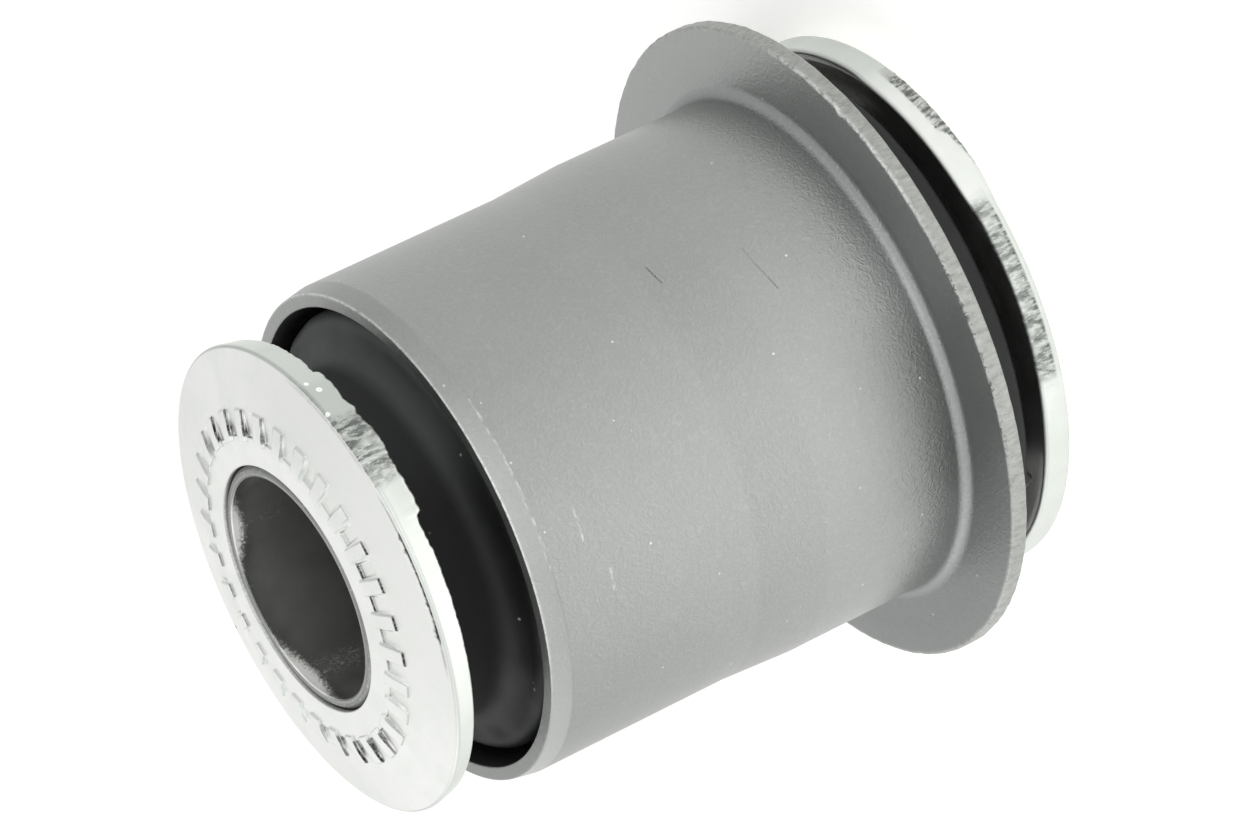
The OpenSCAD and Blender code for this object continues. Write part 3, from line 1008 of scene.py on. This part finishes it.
def washer_seat_depth(s):
    """Depth of a washer's flat seat below its face, where the seat meets the bent back, to a hundredth."""
    bend, reach = mm(s.bend_radius), SLEEVE_HIGH[0] + mm(s.seat_margin) - mm(s.flat_diameter) / 2
    return round(bend - math.sqrt((bend - mm(s.thickness)) ** 2 - reach**2), 2)


def ring_radii(s):
    """Inner and outer radius of the pits, and of the bars, which reach past them at both ends."""
    inner, outer = mm(s.ring_inner) / 2, mm(s.ring_outer) / 2
    return inner, outer, inner - 0.4, outer + 0.2


def washer_path(s, outer_r, hole_r):
    """Half section of a dished washer with its face up at height 0, and what each of its points is.

    The points run from the hole over the face, round the rim and back under the washer. The face is flat,
    then an arc, then a straight slope. The back follows it a sheet's thickness below, to the flat seat. The
    kinds say which points are on the face and on the sheared band, each point's share of the way over the
    rim, how far the rim's droop takes it along, its gap to the front edge, and the painted shade beside the
    sleeve.
    """
    thick, bend, angle = mm(s.thickness), mm(s.bend_radius), s.dish_angle
    flat, rounding = mm(s.flat_diameter) / 2, mm(s.rim_rounding)
    slope = rounding + (outer_r - rounding - flat - (bend - rounding) * math.sin(angle)) / math.cos(angle)
    seat, seat_r = washer_seat_depth(s), SLEEVE_HIGH[0] + mm(s.seat_margin)
    inner, outer, bar_inner, bar_outer = ring_radii(s)

    def on_slope(along, depth):
        """Point at a distance along the slope and a depth in the sheet."""
        radius = flat + along * math.cos(angle) + (bend - depth) * math.sin(angle)
        height = -bend - along * math.sin(angle) + (bend - depth) * math.cos(angle)
        return np.stack([radius, height], -1)

    # The face, with points close together on the steep ends of the bars and pits
    steep = np.array([-0.12, -0.06, -0.02, 0.02, 0.06, 0.12])
    parts = [
        [hole_r + 0.06, hole_r + 0.12, hole_r + 0.3],
        np.linspace(hole_r + 0.8, bar_inner - 0.25, 3),
        bar_inner + steep,
        inner + steep,
        np.linspace(inner + 0.4, outer - 0.4, 4),
        outer + steep[:4] - 0.02,
        bar_outer + steep,
        np.linspace(outer + 0.6, on_slope(slope - 1.3, 0)[0], 6),
    ]
    radii = np.concatenate(parts)
    bend_end = flat + bend * math.sin(angle)
    on_arc = bend - np.sqrt(np.maximum(bend**2 - (radii - flat) ** 2, 0))
    past_arc = (radii - bend_end) * math.tan(angle) + bend * (1 - math.cos(angle))
    drop = np.where(radii < flat, 0.0, np.where(radii < bend_end, on_arc, past_arc))
    face = np.stack([radii, -drop], -1)

    # The rim: the last of the face, a rounding, the sheared band, a rounding and the first of the back
    edge_gaps = np.array([1.0, 0.8, 0.66, 0.58, 0.46, 0.38])
    back_gaps = np.array([0.45, 0.6, 0.9, 1.3])
    quarter = np.linspace(0, math.pi / 2, 6)
    sine, versine = rounding * np.sin(quarter), rounding * (1 - np.cos(quarter))
    rim = np.concatenate(
        [
            on_slope(slope - edge_gaps, np.zeros(6)),
            on_slope(slope - rounding + sine, versine),
            on_slope(np.full(9, slope), np.linspace(rounding + 0.1, thick - rounding - 0.1, 9)),
            on_slope(slope - versine, thick - rounding + sine),
            on_slope(slope - back_gaps, np.full(4, thick)),
        ]
    )
    rim_share = [np.zeros(6), np.linspace(0, 0.12, 6), np.linspace(0.2, 0.85, 9), np.linspace(0.9, 1, 6)]
    rim_share = np.concatenate([*rim_share, [0.8, 0.55, 0.25, 0.05]])

    # The back, its bent part, the seat and the hole
    back = on_slope(np.linspace(slope - 2.2, 0.0, 4), np.full(4, thick))
    under = bend - thick
    bent_r = np.linspace(flat + under * math.sin(angle), seat_r, 4)[1:]
    bent = np.stack([bent_r, -bend + np.sqrt(under**2 - (bent_r - flat) ** 2)], -1)
    seat_face = np.stack([np.linspace(seat_r - 0.2, hole_r + 0.1, 4), np.full(4, -seat)], -1)
    hole = np.stack([np.full(3, hole_r), np.linspace(-seat + 0.1, -0.06, 3)], -1)
    path = np.concatenate([face, rim, back, bent, seat_face, hole])

    index, start, end = np.arange(len(path)), len(face), len(face) + len(rim)
    share = np.zeros(len(path))
    share[start:end] = rim_share
    run_up = np.clip(np.linalg.norm(path - path[start - 4], axis=1) / 3.0, 0, 1) ** 2
    droop = np.where(index < start + 7, run_up, (1 - share) ** 1.5) * (index > start - 5) * (index < end)
    edge_gap = np.full(len(path), 9.0)
    edge_gap[start : start + 6] = edge_gaps
    kinds = SimpleNamespace(
        on_face=index < start,
        share=share,
        on_band=(index >= start + 7) & (index < start + 27),
        droop=droop,
        edge_gap=edge_gap,
        # Painted shade on the hole's wall and its upper corner beside the sleeve
        shade_and_dark_line=np.where(index >= len(path) - 3, 0.55, np.where(index == 0, 0.35, 0.0)),
    )
    return path, kinds


def serrated(s, path, on_face, turns, rise):
    """Heights of the grid with the ring of bars and pits in its face, each with steep rounded walls.

    The bars stand up from the dished face, by no more than rise above its flat middle. The pits are cut down
    to a floor that falls outwards. Their widths and depths differ a little at random.
    """
    inner, outer, bar_inner, bar_outer = ring_radii(s)
    pitch = 2 * math.pi / s.bar_count
    rng = np.random.default_rng(21)
    width = mm(s.bar_width) / 2 + rng.normal(0, 0.04, s.bar_count)
    depth = mm(s.pit_depth) * (1 + rng.normal(0, 0.12, s.bar_count))
    r = path[None, :, 0]

    def blocks(shift, inner_end, outer_end):
        """1 on straight sided blocks once a pitch, and the number of the block that each column is in."""
        turned = turns - s.turn + shift * pitch
        number = np.floor(turned / pitch).astype(int) % s.bar_count
        off_middle = turned % pitch - pitch / 2
        to_side = width[number][:, None] - np.abs(r * np.sin(off_middle)[:, None])
        to_end = np.minimum(r - inner_end, outer_end - r)
        return soft_step(np.minimum(to_side, to_end), 0.1), number

    bar, _ = blocks(0.5, bar_inner, bar_outer)
    pit, number = blocks(0.0, inner, outer)
    z = path[None, :, 1] + 0 * turns[:, None]
    raised = z + bar * np.clip(rise - z, 0, mm(s.bar_height))
    pit_floor = -depth[number][:, None] - 0.12 * (r - inner)
    cut = raised * (1 - pit) + np.minimum(raised, pit_floor) * pit
    return np.where(on_face, cut, z)


def wall_shade(s, path, on_face, turns, z, rim):
    """Dark and grey painted shade on the steep walls of the bars and pits, by the side that they lean to.

    The slope of the face is split into its part round the axis and its part away from it. Dark shade is
    painted on the walls that look to the camera's side, by one strength on the long sides and another on the
    ends. Grey shade is painted on all the steep walls, most on those that lean to one side.
    """
    inner, outer, bar_inner, _ = ring_radii(s)
    r, facing = path[None, :, 0], rim.facing
    sense = np.sign(math.sin(facing[1] - facing[0]))
    slope_round = sense * np.gradient(z, axis=0) / (r * (turns[1] - turns[0]))
    slope_out = np.gradient(z, axis=1) / np.where(on_face, np.gradient(r, axis=1), 1.0)
    steep = np.hypot(slope_round, slope_out) + 1e-6

    def leaning(side):
        """Share of the slope that falls towards a side, an angle like facing."""
        from_side = facing - side
        rising = slope_out * np.cos(from_side)[:, None] - slope_round * np.sin(from_side)[:, None]
        return -rising / steep

    in_ring = (r > bar_inner - 0.3) * (r < outer + 0.4) * on_face
    on_sides = rim.side_soil[:, None] * soft_step(r - inner - 0.05, 0.2)
    soil = (np.abs(slope_round) * on_sides + np.abs(slope_out) * rim.end_soil[:, None]) / steep
    # Dark painted shade on the steep walls that look to the camera's side
    dark_painted_shade = np.clip((steep - 0.5) / 0.6, 0, 1) * in_ring * np.clip(1.6 * leaning(0.0) - 0.2, 0, 1) * soil
    # Grey painted shade on every steep wall, strongest on those that lean to one side
    dulled = 0.35 + 0.45 * np.clip(leaning(GREY_SHADE_SIDE), 0, 1) ** 3
    return dark_painted_shade, dulled * np.clip((steep - 0.4) / 0.6, 0, 1) * in_ring


def washer_surface(s, outer_r, hole_r, rise, rim_of):
    """Grid of a dished washer with its face up at height 0, and its masks.

    rim_of gives the wear of the rim for the angles and for each point's share of the way over the rim. The
    rim is drawn out and down by a power of that share, and its front edge droops. Fine ribs and lumps are cut
    into the torn stretches, and a thin cracked line runs round the face beside the edge.
    """
    path, kinds = washer_path(s, outer_r, hole_r)
    turns, share = all_round(WASHER_COLUMNS), kinds.share
    rim = rim_of(turns, share[None, :])
    z = serrated(s, path, kinds.on_face, turns, rise)
    dark_painted_shade, dulled = wall_shade(s, path, kinds.on_face, turns, z, rim)

    around = (rim.facing / (2 * math.pi) % 1)[:, None]
    ribs = patches(around + 0 * share, share + 0 * around, 340, 2, 31)
    lumps = patches(around + 0 * share, share + 0 * around, 600, 5, 32)
    torn = s.tearing * rim.torn * kinds.on_band
    line = rim.line[:, None]
    line_width = 0.12 + 0.1 * np.clip(line - 1, 0, 1)
    edge_line = np.clip(1.7 * line * bell(kinds.edge_gap - 0.52, line_width), 0, 1)

    drawn, dropped = s.tearing * rim.drawn[:, None], s.tearing * rim.dropped[:, None]
    out = 0.35 * drawn * share**2 - (0.05 * ribs + 0.03 * lumps) * torn
    down = drawn * share**1.3 - dropped * kinds.droop
    sine, cosine = math.sin(s.dish_angle), math.cos(s.dish_angle)
    radius = path[None, :, 0] + out * cosine - 0.4 * down * sine
    height = z - out * sine - down * cosine - 0.06 * edge_line
    points = np.stack([radius * np.cos(turns)[:, None], radius * np.sin(turns)[:, None], height], -1)
    masks = {
        "torn": np.clip(torn * (0.75 + 0.25 * ribs + 0.1 * lumps), 0, 1),
        # Dull zinc of the sheared band, with grey painted shade on the walls of the bars and pits
        "dull": rim.dull[:, None] * kinds.on_band + dulled,
        # Dark line beside the edge, with dark painted shade on the walls and in the hole
        "shade_and_dark_line": np.clip(edge_line + dark_painted_shade + kinds.shade_and_dark_line, 0, 1),
    }
    return points, masks


# Wear round the front washer, as (degrees, value): how far its rim is drawn out behind, in millimetres, and
# how strong the dark painted shade is on the long sides and the ends of the bars and pits
FRONT_DRAWN = (
    (-75, 0), (-45, 0.1), (-30, 0.17), (-5, 0.27), (0, 0.17), (3.2, 0.25), (4, 0.66), (12, 0.76),
    (14, 0.62), (21, 0.84), (26, 0.9), (31, 0.6), (33, 0.78), (36, 0.55), (41, 0.72), (46.5, 0.7),
    (47.5, 0.33), (52, 0.46), (66, 0.4), (90, 0),
)  # fmt: skip
FRONT_SIDE_SHADE = (
    (-140, 0), (-127, 0.5), (-113, 0.9), (-101, 1), (-78, 0.85), (-66, 0.35), (-57, 0),
    (36, 0), (47, 0.4), (58, 0.75), (70, 1), (95, 1), (106, 0.6), (112, 0),
)  # fmt: skip
FRONT_END_SHADE = (
    (-180, 0.8), (-165, 0.4), (-140, 0.05), (-110, 0.1), (-95, 0.4), (-60, 0.2), (-42, 0.25), (-37, 1),
    (-32, 1), (-30, 0.55), (-27, 0.55), (-25, 1), (3, 1), (6, 0.5), (14, 0.3), (30, 0.2), (60, 0), (85, 0.3),
    (97, 0.6), (145, 0.6), (180, 0.85),
)  # fmt: skip

# Deeper nicks in the cracked line beside the front washer's edge, in degrees
FRONT_NICKS = (0.3, -3.0, -16.0, -22.5, -24.0)


def front_rim(turns, share):
    """The front rim: drawn out behind on the upper side in ragged steps, with torn ribs beside them."""
    facing = (turns + math.pi / 2 + math.pi) % (2 * math.pi) - math.pi
    jagged = 0.025 * wave(facing, 41, 30, 200, 0.4) * stretch(facing, -30, 75, 8)
    torn = (1.1 * stretch(facing, 13, 25, 2) + 1.6 * stretch(facing, 25, 31.5, 1.5))[:, None]
    front_torn = 0.5 * stretch(facing, 17, 48, 2)[:, None] * bell(share, 0.06)
    faint = 0.35 * stretch(facing, 0, 10, 2) + 0.2 * stretch(facing, 18, 48, 3)
    faint = faint + 0.35 * stretch(facing, -33, -25, 2)
    broken = np.clip(0.9 + 0.15 * wave(facing, 42, 40, 160, 0.2), 0.5, 1)
    line = np.clip(stretch(facing, -25.5, 1, 1) + faint, 0, 1) * broken
    return SimpleNamespace(
        facing=facing,
        drawn=np.maximum(through(facing, *FRONT_DRAWN) + jagged, 0),
        dropped=0 * facing,
        torn=torn * (1 - 0.3 * share) + front_torn,
        # Dull zinc all round the sheared band, darkened by painted shade from 24 to 78 degrees
        dull=0.58 + 0.17 * stretch(facing, 24, 78, 6) + 0.15 * stretch(facing, 31, 44, 2),
        line=line + sum(window(facing, at, 0.6) for at in FRONT_NICKS),
        side_soil=through(facing, *FRONT_SIDE_SHADE),
        end_soil=through(facing, *FRONT_END_SHADE),
    )


def rear_rim(turns, share):
    """The rear rim, in its turned over angles: speckled behind on one stretch, torn in front on another."""
    facing = (math.pi / 2 - turns + math.pi) % (2 * math.pi) - math.pi
    speckled = stretch(facing, -28, 11, 2)[:, None] * soft_step(share - 0.24, 0.08)
    dark_line = stretch(facing, -25, 9, 3)[:, None] * bell(share - 0.31, 0.06)
    reach = through(facing, (14, 0), (22, 0.08), (26, 0.15), (28, 0.38))[:, None]
    streak = stretch(facing, 15, 46, 3)[:, None] * soft_step(reach - share, 0.08)
    # Dull zinc all round the sheared band, greyer on three stretches, and darkened by painted shade from 48
    # to 100 degrees
    dull = 0.35 + 0.3 * stretch(facing, -28, 11, 3) + 0.35 * stretch(facing, 48, 100, 6)
    return SimpleNamespace(
        facing=facing,
        drawn=0.1 + 0.25 * stretch(facing, 10, 50, 4) + 0.4 * window(facing, -45, 25),
        dropped=0.35 * stretch(facing, 12, 90, 5),
        torn=0.9 * speckled + 1.2 * dark_line + 1.6 * streak,
        dull=dull + 0.3 * stretch(facing, -100, -30, 10),
        line=0 * facing,
        # Even dark painted shade on the walls of the bars and pits
        side_soil=0.6 + 0 * facing,
        end_soil=0.6 + 0 * facing,
    )


class BUSH_OT_washers(bpy.types.Operator):
    """Make the two dished and serrated end washers"""

    bl_idname = "bush.washers"
    bl_label = "End washers"

    def execute(self, context):
        s = context.scene.bush_washers
        hole_r = mm(context.scene.bush_sleeve.end_diameter) / 2 + mm(s.hole_gap)
        material = zinc_plated_steel(s)
        points, masks = washer_surface(s, FRONT_HIGH[0], hole_r, mm(s.bar_rise), front_rim)
        points[..., 2] += FRONT_HIGH[2]
        place(ring_piece("front_washer_plate", points, masks), material, "front_washer")
        points, masks = washer_surface(s, REAR_HIGH[0], hole_r, 0.0, rear_rim)
        points *= np.array([1, -1, -1])
        points[..., 2] += REAR_LOW[2]
        place(ring_piece("rear_washer_plate", points, masks), material, "rear_washer")
        return {"FINISHED"}


# The stage


def make_floor(s):
    """A square sheet round the origin at height 0."""
    half = FLOOR_HALF
    mesh = bpy.data.meshes.new("floor")
    corners = [(-half, -half, 0), (half, -half, 0), (half, half, 0), (-half, half, 0)]
    mesh.from_pydata(corners, [], [(0, 1, 2, 3)])
    floor = bpy.data.objects.new("floor", mesh)
    bpy.context.scene.collection.objects.link(floor)
    mesh.materials.append(studio_floor(s))


def make_light_tent(s):
    """Soft light from all round: each wall's light falls off by a power of the cosine from its middle.

    Where the camera looks past the part it sees plain white.
    """
    world = bpy.data.worlds.new("light_tent")
    bpy.context.scene.world = world
    world.use_nodes = True
    tree = world.node_tree
    tree.nodes.clear()
    way = add(tree, "TexCoord", out="Generated")
    total = 0.0
    for side, rise, strength in TENT_WALLS:
        side, rise = math.radians(side), math.radians(rise)
        middle = (math.sin(side) * math.cos(rise), -math.cos(side) * math.cos(rise), math.sin(rise))
        cosine = add(tree, "VectorMath", (way, middle), out="Value", operation="DOT_PRODUCT")
        seen = add(tree, "Math", (cosine, 0.0), operation="MAXIMUM")
        fall = add(tree, "Math", (seen, TENT_POWER), operation="POWER")
        total = add(tree, "Math", (total, product(tree, fall, strength * s.tent)))
    tent = add(tree, "Background", {"Color": (1, 1, 1, 1), "Strength": total})
    plain = add(tree, "Background", {"Color": (1, 1, 1, 1), "Strength": 1.0})
    to_camera = add(tree, "LightPath", out="Is Camera Ray")
    add(tree, "OutputWorld", {"Surface": add(tree, "MixShader", (to_camera, tent, plain))})


def make_camera():
    """The camera at the photograph's angle, from its place and its solved axes."""
    data = bpy.data.cameras.new("camera")
    data.sensor_width = SENSOR_WIDTH
    data.lens = FOCAL_PIXELS / PICTURE_PIXELS * SENSOR_WIDTH
    data.clip_start, data.clip_end = 0.01, 20.0
    camera = bpy.data.objects.new("camera", data)
    right, up = np.array(CAMERA_RIGHT), np.array(CAMERA_UP)
    columns = np.column_stack([right, up, np.cross(right, up), np.array(CAMERA_PLACE) * MM])
    camera.matrix_world = Matrix(np.vstack([columns, [0, 0, 0, 1]]).tolist())
    bpy.context.scene.collection.objects.link(camera)
    bpy.context.scene.camera = camera


class BUSH_OT_stage(bpy.types.Operator):
    """Make the floor, the lights and the camera"""

    bl_idname = "bush.stage"
    bl_label = "Stage"

    def execute(self, context):
        s = context.scene.bush_stage
        make_floor(s)
        make_light_tent(s)
        make_camera()
        context.scene.view_settings.view_transform = "Standard"
        return {"FINISHED"}


class BUSH_PT_panel(bpy.types.Panel):
    bl_idname = "BUSH_PT_panel"
    bl_label = "Rubber Metal Bush"
    bl_space_type = "VIEW_3D"
    bl_region_type = "UI"
    bl_category = "Bush"

    def draw(self, context):
        for operator, group in PIECES:
            box = self.layout.box()
            box.operator(operator.bl_idname)
            settings = getattr(context.scene, group)
            for name in settings.__annotations__:
                box.prop(settings, name)


GROUPS = {
    "bush_shell": BushShellSettings,
    "bush_sleeve": BushSleeveSettings,
    "bush_rubber": BushRubberSettings,
    "bush_washers": BushWasherSettings,
    "bush_stage": BushStageSettings,
}
PIECES = (
    (BUSH_OT_shell, "bush_shell"),
    (BUSH_OT_sleeve, "bush_sleeve"),
    (BUSH_OT_rubber, "bush_rubber"),
    (BUSH_OT_washers, "bush_washers"),
    (BUSH_OT_stage, "bush_stage"),
)
CLASSES = (*GROUPS.values(), *(operator for operator, group in PIECES), BUSH_PT_panel)


def register():
    for kind in CLASSES:
        bpy.utils.register_class(kind)
    for name, kind in GROUPS.items():
        setattr(bpy.types.Scene, name, bpy.props.PointerProperty(type=kind))


def unregister():
    for name in GROUPS:
        delattr(bpy.types.Scene, name)
    for kind in reversed(CLASSES):
        bpy.utils.unregister_class(kind)


def main():
    """Makes the pieces and the stage."""
    register()
    bpy.ops.bush.shell()
    bpy.ops.bush.sleeve()
    bpy.ops.bush.rubber()
    bpy.ops.bush.washers()
    bpy.ops.bush.stage()


if __name__ == "__main__":
    main()
